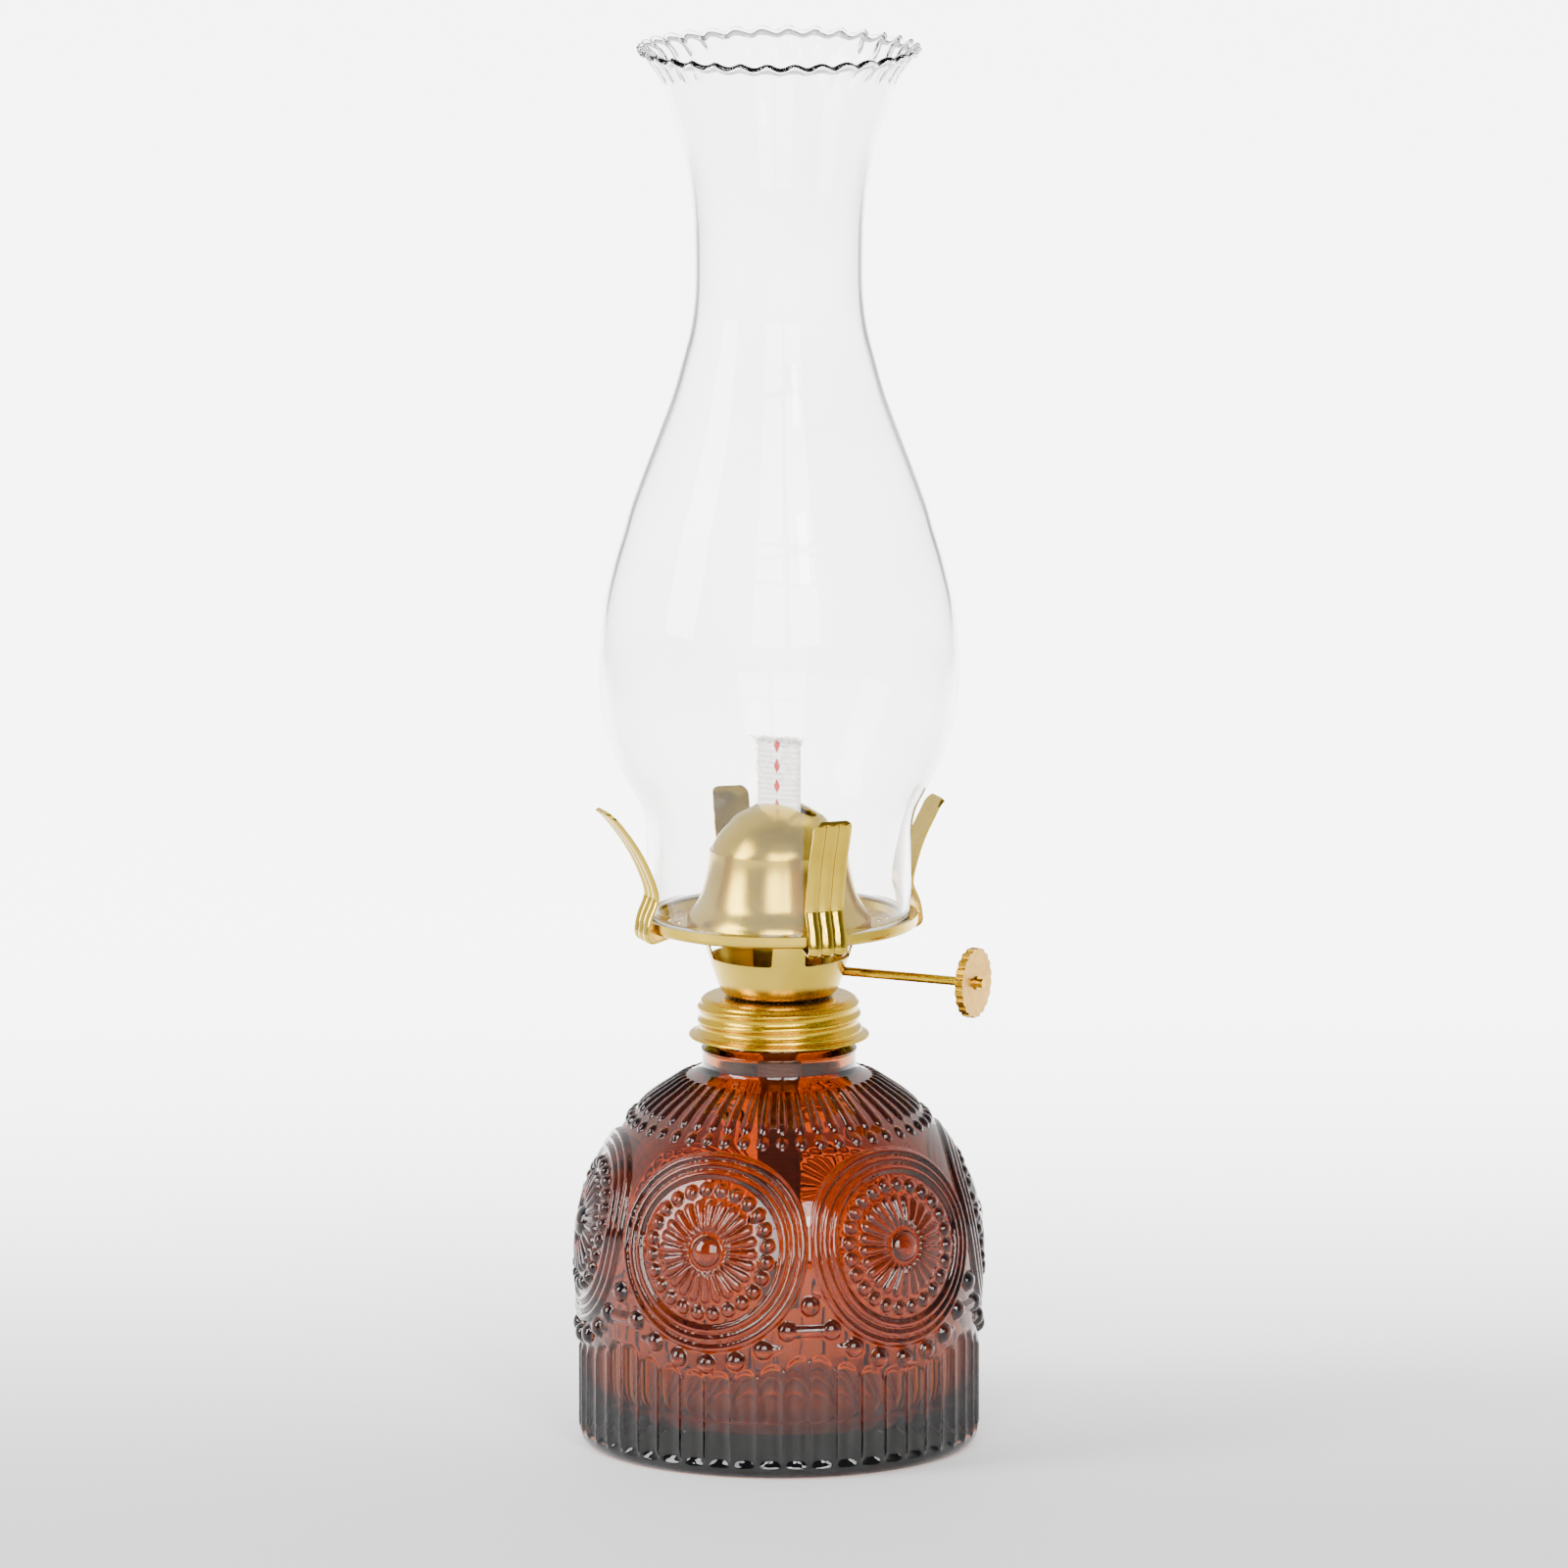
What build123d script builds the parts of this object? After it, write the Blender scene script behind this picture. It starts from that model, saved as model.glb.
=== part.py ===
from build123d import *
import math
import os

# Oil lamp: pressed-glass font, screw-on flat-wick burner, clear chimney.
# Millimetres, +Z up, origin at the centre of the font's foot, +X along the wick-raiser spindle.

# ---- driving dimensions -------------------------------------------------------------------
lamp_height = 285.0        # table to the top of the crimped rim
contact_gap = 0.10         # two pieces that rest on each other but come apart
moving_gap = 0.30          # moving piece to its neighbour
running_gap = 0.05         # shaft in its bearing, radial
seat_gap = 0.02            # fixed pieces of one assembly, side by side

# font
foot_radius = 40.2
font_skirt_height = 25.0
heel_radius = 2.5
font_belly_swell = 0.6     # how far the belly stands out past the foot
font_belly_z = 36.7
font_floor = 7.0
font_wall = 5.2
font_corner_radius = 8.0   # inside, where the floor meets the wall
cavity_top_z = 75.2
neck_bottom_z = 76.6
neck_step_z = 81.0
neck_top_z = 89.9
finish_radius = 14.2       # glass that the cap screws over
neck_ledge = 1.3           # how far the neck stands out past the finish
neck_wall = 1.7
thread_wire_radius = 0.75
thread_sink = 0.65         # how deep the thread's wire lies in the finish
thread_pitch = 3.2
thread_turns = 1.25
thread_start_z = 84.2

# pressed pattern on the font
hub_count = 6
hub_phase = -25.85
hub_z = 46.3
hub_radius = 3.0
hub_relief = 1.2           # how far the centre of each medallion stands out
hub_inset = 0.2            # glass at the hubs' height, in from the foot's radius
flute_count = 48
flute_depth = 0.45
flute_bottom_z = 3.4
flute_top_z = 18.5

# screw collar
sheet = 0.45
collar_lip_flare = 2.55
collar_roll = 0.85         # depth of the thread rolled into the sheet
collar_bottom_z = 83.3
collar_corner = 2.2        # bend between the collar's side and its top
collar_throat_radius = 9.0
washer_thickness = 1.0
washer_side_room = 0.8     # washer's edge in from the glass finish

# burner bowl
bowl_sheet = 0.4
bowl_floor_inset = 0.57    # bowl's flat floor, in from the corners of the sprocket housing
bowl_rim_radius = 15.3
air_slot_count = 4
air_slot_phase = -11.9
air_slot_bottom_half_width = 7.4
air_slot_top_half_width = 8.4
air_slot_bottom_z = 99.7
air_slot_height = 4.6
air_slot_corner = 0.8

# gallery
gallery_z = 106.0
gallery_radius = 28.0
gallery_rim_height = 2.4
gallery_edge_radius = 1.0
seat_ring_inner = 24.6
seat_ring_outer = 26.9
seat_ring_height = 1.3
hole_rows = ((20.2, 0.0), (22.4, 0.5))
holes_per_row = 26
hole_size = 1.7

# bell
bell_foot_radius = 18.7
bell_step_radius = 14.0
bell_step_z = 121.5
bell_top_z = 131.0
bell_slot_length = 16.2
bell_slot_width = 4.0

# wick, its tube and the raiser
wick_width = 9.5
wick_thickness = 2.2
wick_top_z = 143.5
wick_length = 115.5
tube_sheet = 0.4
tube_top_z = 124.5
tube_bottom_z = 84.0
sprocket_radius = 3.2
sprocket_root_radius = 2.3
sprocket_teeth = 8
sprocket_width = 1.2
sprocket_places = (-2.6, 2.6)
tooth_gap = 0.15
spindle_radius = 0.93
spindle_head_radius = 1.4
spindle_head = 0.4
spindle_end = 0.6          # spindle past the housing's far wall
housing_sheet = 0.4
housing_room = 0.6         # sprocket teeth to the housing's floor and roof
housing_lift = 0.43        # housing above the bowl's floor
knob_radius = 7.1
knob_scallops = 20
knob_scallop_radius = 0.8
knob_depth = 1.7
knob_sheet = 0.5
knob_face_x = 41.9
spindle_stub = 1.5

# prongs
prong_width = 8.0
prong_sheet = 0.45
prong_rib_rise = 0.45
prong_ribs = 3
prong_foot_radius = 24.4
prong_hook_radius = 1.1
prong_corner_radius = 2.4
prong_grip_z = 113.0
prong_tips = ((45, 33.9, 130.3), (135, 31.0, 128.8), (225, 37.5, 131.8), (315, 33.0, 132.8))

# chimney
chimney_wall = 1.2
chimney_foot_radius = 26.5
chimney_grip_radius = 27.0
chimney_grip_top_z = 127.6
chimney_bulge_radius = 36.3
chimney_bulge_z = 159.0
chimney_throat_radius = 17.0
chimney_throat_z = 240.0
rim_bead_radius = 1.1
rim_crimp_radius = 1.45
rim_circle_radius = 27.55
rim_crimps = 32

# ---- places that follow from the sizes above ----------------------------------------------
font_belly_radius = foot_radius + font_belly_swell
neck_radius = finish_radius + neck_ledge
neck_bore_radius = finish_radius - neck_wall
thread_path_radius = finish_radius + thread_wire_radius - thread_sink
collar_thread_radius = thread_path_radius + thread_wire_radius + moving_gap + sheet
collar_lip_radius = collar_thread_radius + collar_lip_flare
washer_bottom_z = neck_top_z + contact_gap
collar_inner_top_z = washer_bottom_z + washer_thickness + contact_gap
collar_top_z = collar_inner_top_z + sheet
bowl_bottom_z = collar_top_z + seat_gap
bowl_top_z = gallery_z - seat_gap
seat_z = gallery_z + seat_ring_height + bowl_sheet
chimney_bottom_z = seat_z + contact_gap
flute_half_pitch = math.pi * foot_radius / flute_count
flute_radius = (flute_half_pitch**2 + flute_depth**2) / (2 * flute_depth)
bell_foot_z = gallery_z + bowl_sheet + seat_gap
tube_half_x = wick_width / 2 + moving_gap + tube_sheet
tube_half_y = wick_thickness / 2 + moving_gap + tube_sheet
housing_height = 2 * (sprocket_radius + housing_room + housing_sheet)
spindle_y = wick_thickness / 2 + tooth_gap + sprocket_radius
housing_front_y = tube_half_y + seat_gap
housing_back_y = spindle_y + sprocket_radius + moving_gap + housing_sheet
bowl_floor_radius = math.hypot(tube_half_x, housing_back_y) - bowl_floor_inset
spindle_z = bowl_bottom_z + bowl_sheet + housing_lift + housing_height / 2

os.makedirs("parts", exist_ok=True)


def between(start, end, shares):
    """Points that lie the given shares of the way from start to end, radius and height apart."""
    points = []
    for across, up in shares:
        points.append((start[0] + across * (end[0] - start[0]), start[1] + up * (end[1] - start[1])))
    return points


def sheet_outline(points, wall, tangents, steps):
    """Closed outline of a bent sheet: a spline through points, and one that runs wall to its left."""
    side = Spline(*points, tangents=tangents, tangent_scalars=(1, 1), mode=Mode.PRIVATE)
    far_side = []
    for step in range(steps + 1):
        spot = side @ (step / steps)
        run = side % (step / steps)
        far_side.append((spot.X - wall * run.Y, spot.Y + wall * run.X))
    with BuildLine() as outline:
        Spline(*points, tangents=tangents, tangent_scalars=(1, 1))
        Line(points[-1], far_side[-1])
        Spline(*reversed(far_side))
        Line(far_side[0], points[0])
    return outline.line


# ---- font_glass: hollow pressed-glass oil reservoir ---------------------------------------
neck_foot = (neck_radius, neck_bottom_z)
shoulder_points = [
    (foot_radius, font_skirt_height),
    (font_belly_radius, font_belly_z),
    *between(
        (font_belly_radius, font_belly_z),
        neck_foot,
        [(0.036, 0.273), (0.158, 0.496), (0.344, 0.692), (0.593, 0.852), (0.842, 0.957)],
    ),
    neck_foot,
]
cavity_side_radius = foot_radius - font_wall
cavity_floor_radius = cavity_side_radius - font_corner_radius
cavity_belly = (font_belly_radius - font_wall, font_belly_z)
cavity_top = (neck_bore_radius, cavity_top_z)
cavity_points = [
    (cavity_side_radius, font_skirt_height),
    cavity_belly,
    *between(
        cavity_belly,
        cavity_top,
        [(0.039, 0.257), (0.173, 0.46), (0.377, 0.636), (0.649, 0.784), (0.87, 0.888)],
    ),
    cavity_top,
]
with BuildPart() as font_glass:
    with BuildSketch(Plane.XZ):
        with BuildLine():
            Polyline((0, 0), (foot_radius - heel_radius, 0))
            RadiusArc((foot_radius - heel_radius, 0), (foot_radius, heel_radius), -heel_radius)
            Line((foot_radius, heel_radius), (foot_radius, font_skirt_height))
            Spline(*shoulder_points, tangents=[(0, 1), (-0.9, 0.45)], tangent_scalars=(1, 1))
            Polyline(
                neck_foot,
                (neck_radius, neck_step_z),
                (finish_radius, neck_step_z + 0.8),
                (finish_radius, neck_top_z),
                (0, neck_top_z),
                (0, 0),
            )
        make_face()
    revolve(axis=Axis.Z)
    # raised centre of each pressed medallion
    with Locations((0, 0, hub_z)):
        with PolarLocations(foot_radius - hub_inset + hub_relief - hub_radius, hub_count, hub_phase):
            Sphere(hub_radius)
    # upright flutes round the skirt
    with Locations((0, 0, flute_bottom_z)):
        with PolarLocations(foot_radius + flute_radius - flute_depth, flute_count):
            Cylinder(
                radius=flute_radius,
                height=flute_top_z - flute_bottom_z,
                align=(Align.CENTER, Align.CENTER, Align.MIN),
                mode=Mode.SUBTRACT,
            )
    # oil space and neck bore
    with BuildSketch(Plane.XZ):
        with BuildLine():
            Line((0, font_floor), (cavity_floor_radius, font_floor))
            RadiusArc(
                (cavity_floor_radius, font_floor),
                (cavity_side_radius, font_floor + font_corner_radius),
                -font_corner_radius,
            )
            Line((cavity_side_radius, font_floor + font_corner_radius), cavity_points[0])
            Spline(*cavity_points, tangents=[(0, 1), (0, 1)], tangent_scalars=(1, 1))
            Polyline(
                cavity_top,
                (neck_bore_radius, neck_top_z + 1.0),
                (0, neck_top_z + 1.0),
                (0, font_floor),
            )
        make_face()
    revolve(axis=Axis.Z, mode=Mode.SUBTRACT)
    # one moulded thread round the neck finish
    with BuildLine() as thread_path:
        Helix(
            pitch=thread_pitch,
            height=thread_pitch * thread_turns,
            radius=thread_path_radius,
            center=(0, 0, thread_start_z),
        )
    thread_line = thread_path.line
    with BuildSketch(Plane(origin=thread_line @ 0, z_dir=thread_line % 0)):
        Circle(thread_wire_radius)
    sweep(path=thread_line, is_frenet=True)
font_glass.part.label = "font_glass"
export_step(font_glass.part, "parts/font_glass.step")

# ---- neck_washer: seals the cap on the glass lip ------------------------------------------
with BuildPart() as neck_washer:
    with BuildSketch(Plane.XY.offset(washer_bottom_z)):
        Circle(finish_radius - washer_side_room)
        Circle(neck_bore_radius, mode=Mode.SUBTRACT)
    extrude(amount=washer_thickness)
neck_washer.part.label = "neck_washer"
export_step(neck_washer.part, "parts/neck_washer.step")

# ---- screw_collar: rolled brass cap that screws over the glass neck -----------------------
with BuildPart() as screw_collar:
    with BuildSketch(Plane.XZ):
        with BuildLine():
            add(
                sheet_outline(
                    [
                        (collar_lip_radius, collar_bottom_z),
                        (collar_thread_radius + 1.05, collar_bottom_z + 0.55),
                        (collar_thread_radius, collar_bottom_z + 1.7),
                        (collar_thread_radius + collar_roll, collar_bottom_z + 3.1),
                        (collar_thread_radius + 0.4 * collar_roll, collar_bottom_z + 4.8),
                        (collar_thread_radius + 0.75 * collar_roll, collar_top_z - 2.0),
                        (collar_thread_radius + 0.1, collar_top_z - 0.6),
                        (collar_thread_radius - 0.5 * collar_corner, collar_top_z - 0.03),
                        (collar_thread_radius - collar_corner, collar_top_z),
                    ],
                    sheet,
                    [(-1, 0.2), (-1, 0)],
                    20,
                )
            )
        make_face()
        with Locations((collar_throat_radius, collar_inner_top_z)):
            Rectangle(
                collar_thread_radius - collar_corner - collar_throat_radius,
                sheet,
                align=(Align.MIN, Align.MIN),
            )
    revolve(axis=Axis.Z)
screw_collar.part.label = "screw_collar"
export_step(screw_collar.part, "parts/screw_collar.step")

# ---- burner_bowl: brass cup with four air slots -------------------------------------------
bowl_floor_edge = (bowl_floor_radius, bowl_bottom_z)
bowl_rim = (bowl_rim_radius, bowl_top_z)
bowl_flare = [(0.32, 0.05), (0.51, 0.19), (0.63, 0.33), (0.75, 0.49), (0.88, 0.65), (0.975, 0.82)]
with BuildPart() as burner_bowl:
    with BuildSketch(Plane.XZ):
        with BuildLine():
            add(
                sheet_outline(
                    [
                        bowl_floor_edge,
                        *between(bowl_floor_edge, bowl_rim, bowl_flare),
                        bowl_rim,
                    ],
                    bowl_sheet,
                    [(1, 0), (0, 1)],
                    16,
                )
            )
        make_face()
        with Locations((0, bowl_bottom_z)):
            Rectangle(bowl_floor_radius, bowl_sheet, align=(Align.MIN, Align.MIN))
    revolve(axis=Axis.Z)
    for step in range(air_slot_count):
        turn = air_slot_phase + step * 360 / air_slot_count
        out = Vector(math.cos(math.radians(turn)), math.sin(math.radians(turn)), 0)
        slot_plane = Plane(
            origin=out * 6 + Vector(0, 0, air_slot_bottom_z), x_dir=(-out.Y, out.X, 0), z_dir=out
        )
        with BuildSketch(slot_plane):
            with BuildLine():
                Polyline(
                    (-air_slot_bottom_half_width, 0),
                    (air_slot_bottom_half_width, 0),
                    (air_slot_top_half_width, air_slot_height),
                    (-air_slot_top_half_width, air_slot_height),
                    close=True,
                )
            face = make_face()
            fillet(face.vertices(), air_slot_corner)
        extrude(amount=bowl_rim_radius, mode=Mode.SUBTRACT)
    # opening for the wick tube and the hole the spindle leaves by
    with BuildSketch(Plane.XY.offset(bowl_bottom_z - 1)):
        Rectangle(2 * (tube_half_x + seat_gap), 2 * (tube_half_y + seat_gap))
    extrude(amount=3, mode=Mode.SUBTRACT)
    with BuildSketch(Plane.YZ.offset(tube_half_x)):
        with Locations((spindle_y, spindle_z)):
            Circle(spindle_radius + moving_gap)
    extrude(amount=bowl_rim_radius, mode=Mode.SUBTRACT)
burner_bowl.part.label = "burner_bowl"
export_step(burner_bowl.part, "parts/burner_bowl.step")

# ---- wick_tube: flat tube the wick slides in ----------------------------------------------
window_reach = spindle_y - tube_half_y
window_half = math.sqrt(sprocket_radius**2 - window_reach**2) + moving_gap
with BuildPart() as wick_tube:
    with BuildSketch(Plane.XY.offset(tube_bottom_z)):
        RectangleRounded(2 * tube_half_x, 2 * tube_half_y, 1.2)
        RectangleRounded(
            2 * (tube_half_x - tube_sheet), 2 * (tube_half_y - tube_sheet), 0.8, mode=Mode.SUBTRACT
        )
    extrude(amount=tube_top_z - tube_bottom_z)
    with BuildSketch(Plane.XZ.offset(-tube_half_y - 1)):
        with Locations(*[(x, spindle_z) for x in sprocket_places]):
            Rectangle(sprocket_width + 2 * moving_gap, 2 * window_half)
    extrude(amount=1 + tube_half_y, mode=Mode.SUBTRACT)
wick_tube.part.label = "wick_tube"
export_step(wick_tube.part, "parts/wick_tube.step")

# ---- sprocket_housing: box on the tube's back that carries the spindle ---------------------
with BuildPart() as sprocket_housing:
    with Locations((0, housing_front_y, spindle_z)):
        Box(
            2 * tube_half_x,
            housing_back_y - housing_front_y,
            housing_height,
            align=(Align.CENTER, Align.MIN, Align.CENTER),
        )
        Box(
            2 * (tube_half_x - housing_sheet),
            housing_back_y - housing_front_y - housing_sheet,
            housing_height - 2 * housing_sheet,
            align=(Align.CENTER, Align.MIN, Align.CENTER),
            mode=Mode.SUBTRACT,
        )
    with BuildSketch(Plane.YZ):
        with Locations((spindle_y, spindle_z)):
            Circle(spindle_radius + running_gap)
    extrude(amount=tube_half_x + 1, both=True, mode=Mode.SUBTRACT)
sprocket_housing.part.label = "sprocket_housing"
export_step(sprocket_housing.part, "parts/sprocket_housing.step")

# ---- spindle: wick-raiser shaft, staked over at the knob ----------------------------------
spindle_start_x = -(tube_half_x + spindle_end)
with BuildPart() as spindle:
    with BuildSketch(Plane.YZ.offset(spindle_start_x)):
        with Locations((spindle_y, spindle_z)):
            Circle(spindle_radius)
    extrude(amount=knob_face_x + spindle_stub - spindle_start_x)
    with BuildSketch(Plane.YZ.offset(knob_face_x + seat_gap)):
        with Locations((spindle_y, spindle_z)):
            Circle(spindle_head_radius)
    extrude(amount=spindle_head)
spindle.part.label = "spindle"
export_step(spindle.part, "parts/spindle.step")

# ---- sprockets: toothed discs that grip the wick through the tube's windows ----------------
tooth_foot_radius = 0.85 * sprocket_root_radius
tooth_half_width = 0.36 * 2 * math.pi * tooth_foot_radius / sprocket_teeth
for number, place in enumerate(sprocket_places, start=1):
    with BuildPart() as sprocket:
        with BuildSketch(Plane.YZ.offset(place - sprocket_width / 2)):
            with Locations((spindle_y, spindle_z)):
                Circle(sprocket_root_radius)
                with PolarLocations(tooth_foot_radius, sprocket_teeth):
                    Polygon(
                        (0, -tooth_half_width),
                        (sprocket_radius - tooth_foot_radius, 0),
                        (0, tooth_half_width),
                        align=None,
                    )
                Circle(spindle_radius + seat_gap, mode=Mode.SUBTRACT)
        extrude(amount=sprocket_width)
    sprocket.part.label = f"sprocket_{number}"
    export_step(sprocket.part, f"parts/sprocket_{number}.step")

# ---- knob: scalloped brass thumb wheel, its rim turned back towards the burner -------------
with BuildPart() as knob:
    with BuildSketch(Plane.YZ.offset(knob_face_x - knob_depth)):
        with Locations((spindle_y, spindle_z)):
            Circle(knob_radius)
            with PolarLocations(knob_radius + 0.45, knob_scallops):
                Circle(knob_scallop_radius, mode=Mode.SUBTRACT)
    extrude(amount=knob_depth)
    with BuildSketch(Plane.YZ.offset(knob_face_x - knob_depth)):
        with Locations((spindle_y, spindle_z)):
            Circle(knob_radius - 0.35 - knob_sheet)
    extrude(amount=knob_depth - knob_sheet, mode=Mode.SUBTRACT)
    with BuildSketch(Plane.YZ.offset(knob_face_x - knob_depth)):
        with Locations((spindle_y, spindle_z)):
            Circle(spindle_radius + seat_gap)
    extrude(amount=knob_depth, mode=Mode.SUBTRACT)
knob.part.label = "knob"
export_step(knob.part, "parts/knob.step")

# ---- gallery: perforated plate with the chimney seat and a rolled edge ---------------------
rim_inner = seat_ring_outer + 0.2
rim_top_z = gallery_z + gallery_rim_height
plate_inner = bowl_rim_radius - 2.0
with BuildPart() as gallery:
    with BuildSketch(Plane.XZ):
        with BuildLine():
            Polyline(
                (plate_inner, gallery_z),
                (seat_ring_inner - 0.6, gallery_z),
                (seat_ring_inner + 0.3, gallery_z + seat_ring_height),
                (seat_ring_outer - 0.4, gallery_z + seat_ring_height),
                (seat_ring_outer, gallery_z),
                (gallery_radius - gallery_edge_radius, gallery_z),
            )
            RadiusArc(
                (gallery_radius - gallery_edge_radius, gallery_z),
                (gallery_radius, gallery_z + gallery_edge_radius),
                -gallery_edge_radius,
            )
            Polyline(
                (gallery_radius, gallery_z + gallery_edge_radius),
                (gallery_radius, rim_top_z),
                (rim_inner, rim_top_z),
                (rim_inner, seat_z),
                (seat_ring_inner, seat_z),
                (seat_ring_inner - 0.9, gallery_z + bowl_sheet),
                (plate_inner, gallery_z + bowl_sheet),
                (plate_inner, gallery_z),
            )
        make_face()
    revolve(axis=Axis.Z)
    for row_radius, row_shift in hole_rows:
        with BuildSketch(Plane.XY.offset(gallery_z - 1)):
            with PolarLocations(row_radius, holes_per_row, start_angle=row_shift * 360 / holes_per_row):
                Rectangle(hole_size, hole_size, rotation=45)
        extrude(amount=3, mode=Mode.SUBTRACT)
gallery.part.label = "gallery"
export_step(gallery.part, "parts/gallery.step")

# ---- prongs: ribbed spring fingers that hold the chimney ----------------------------------
prong_foot_z = gallery_z - contact_gap
prong_grip_radius = chimney_foot_radius + moving_gap + 0.2
for number, (prong_turn, tip_radius, tip_z) in enumerate(prong_tips, start=1):
    with BuildPart() as prong:
        with BuildLine() as prong_path:
            foot = Line((prong_foot_radius, prong_foot_z), (gallery_radius - 0.4, prong_foot_z - 0.9))
            hook = JernArc(foot @ 1, foot % 1, prong_hook_radius, 112)
            hook_end = ((hook @ 1).X, (hook @ 1).Y)
            grip = (prong_grip_radius, prong_grip_z)
            Spline(
                hook_end,
                *between(hook_end, grip, [(0.35, 0.5)]),
                grip,
                *between(grip, (tip_radius, tip_z), [(0.07, 0.21), (0.24, 0.43), (0.46, 0.64), (0.71, 0.83)]),
                (tip_radius, tip_z),
                tangents=[hook % 1, (1, 0.75)],
                tangent_scalars=(1, 1),
            )
        spring_line = Plane.XZ * prong_path.line
        section_plane = Plane(origin=spring_line @ 0, x_dir=(0, -1, 0), z_dir=spring_line % 0)
        rib_pitch = prong_width / prong_ribs
        with BuildSketch(section_plane):
            with BuildLine():
                Polyline(
                    (prong_width / 2, prong_sheet),
                    (prong_width / 2, 0),
                    (-prong_width / 2, 0),
                    (-prong_width / 2, prong_sheet),
                )
                for rib in range(prong_ribs):
                    left = -prong_width / 2 + rib * rib_pitch
                    SagittaArc((left, prong_sheet), (left + rib_pitch, prong_sheet), prong_rib_rise)
            make_face()
        sweep(path=spring_line)
        # rounded corners at the tip
        with BuildSketch(Plane.YZ):
            with Locations((0, tip_z + 0.2)):
                RectangleRounded(
                    prong_width + 0.1,
                    3 * (tip_z - prong_foot_z),
                    prong_corner_radius,
                    align=(Align.CENTER, Align.MAX),
                )
        extrude(amount=2 * tip_radius, mode=Mode.INTERSECT)
    turned_prong = prong.part.rotate(Axis.Z, prong_turn)
    turned_prong.label = f"prong_{number}"
    export_step(turned_prong, f"parts/prong_{number}.step")

# ---- bell: domed brass deflector with the flame slot --------------------------------------
bell_foot = (bell_foot_radius, bell_foot_z)
bell_step = (bell_step_radius, bell_step_z)
bell_flare = [(0.13, 0.13), (0.49, 0.29), (0.74, 0.5), (0.91, 0.74)]
dome_foot = (bell_step_radius - 0.3, bell_step_z - 0.3)
dome_top = (0, bell_top_z)
dome_curve = [(0.06, 0.23), (0.18, 0.48), (0.36, 0.73), (0.62, 0.92)]
with BuildPart() as bell:
    with BuildSketch(Plane.XZ):
        with BuildLine():
            add(
                sheet_outline(
                    [
                        bell_foot,
                        *between(bell_foot, bell_step, bell_flare),
                        bell_step,
                    ],
                    bowl_sheet,
                    [(0, 1), (0, 1)],
                    12,
                )
            )
        make_face()
        with BuildLine():
            add(
                sheet_outline(
                    [
                        dome_foot,
                        *between(dome_foot, dome_top, dome_curve),
                        dome_top,
                    ],
                    bowl_sheet,
                    [(-0.05, 1), (-1, 0)],
                    12,
                )
            )
        make_face()
    revolve(axis=Axis.Z)
    with BuildSketch(Plane.XY.offset(bell_top_z - 8)):
        SlotOverall(bell_slot_length, bell_slot_width)
    extrude(amount=10, mode=Mode.SUBTRACT)
bell.part.label = "bell"
export_step(bell.part, "parts/bell.step")

# ---- wick: flat woven strip ---------------------------------------------------------------
with BuildPart() as wick:
    with BuildSketch(Plane.XY.offset(wick_top_z - wick_length)):
        RectangleRounded(wick_width, wick_thickness, 0.8)
    extrude(amount=wick_length)
wick.part.label = "wick"
export_step(wick.part, "parts/wick.step")

# ---- chimney: blown clear glass with a crimped rim ----------------------------------------
rim_z = lamp_height - rim_crimp_radius
chimney_foot = (chimney_foot_radius, chimney_bottom_z)
chimney_grip = (chimney_grip_radius, chimney_grip_top_z)
chimney_bulge = (chimney_bulge_radius, chimney_bulge_z)
chimney_throat = (chimney_throat_radius, chimney_throat_z)
chimney_rim = (rim_circle_radius, rim_z)
with BuildPart() as chimney:
    with BuildSketch(Plane.XZ):
        with BuildLine():
            add(
                sheet_outline(
                    [
                        chimney_foot,
                        *between(chimney_foot, chimney_grip, [(0.4, 0.6)]),
                        chimney_grip,
                        *between(chimney_grip, chimney_bulge, [(0.26, 0.19), (0.76, 0.52)]),
                        chimney_bulge,
                        *between(
                            chimney_bulge,
                            chimney_throat,
                            [(0.06, 0.16), (0.25, 0.33), (0.48, 0.49), (0.765, 0.675), (0.95, 0.84)],
                        ),
                        chimney_throat,
                        *between(chimney_throat, chimney_rim, [(0.095, 0.41), (0.355, 0.67), (0.81, 0.95)]),
                        chimney_rim,
                    ],
                    chimney_wall,
                    [(0, 1), (1, 1)],
                    40,
                )
            )
        make_face()
    revolve(axis=Axis.Z)
    with BuildSketch(Plane.XZ):
        with Locations(chimney_rim):
            Circle(rim_bead_radius)
    revolve(axis=Axis.Z)
    with Locations((0, 0, rim_z)):
        with PolarLocations(rim_circle_radius, rim_crimps):
            Sphere(rim_crimp_radius)
chimney.part.label = "chimney"
export_step(chimney.part, "parts/chimney.step")
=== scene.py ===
import math

import bpy
import numpy as np
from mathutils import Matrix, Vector


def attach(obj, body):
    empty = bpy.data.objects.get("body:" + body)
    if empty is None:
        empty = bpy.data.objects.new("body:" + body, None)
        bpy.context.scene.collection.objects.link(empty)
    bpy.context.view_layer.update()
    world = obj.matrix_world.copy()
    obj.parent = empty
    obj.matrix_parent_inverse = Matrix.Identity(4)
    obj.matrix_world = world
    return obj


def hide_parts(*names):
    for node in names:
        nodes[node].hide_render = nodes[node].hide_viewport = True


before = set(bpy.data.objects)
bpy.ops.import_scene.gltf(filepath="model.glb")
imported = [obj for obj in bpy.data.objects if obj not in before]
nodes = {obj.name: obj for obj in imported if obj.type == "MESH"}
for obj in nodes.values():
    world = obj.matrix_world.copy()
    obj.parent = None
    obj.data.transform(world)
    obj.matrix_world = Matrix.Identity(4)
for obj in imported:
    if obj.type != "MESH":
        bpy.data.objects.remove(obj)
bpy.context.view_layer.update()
MM = 0.001
TAU = 2 * math.pi
IMAGE_WIDTH = 1600
PX_PER_MM = 5.07


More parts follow.
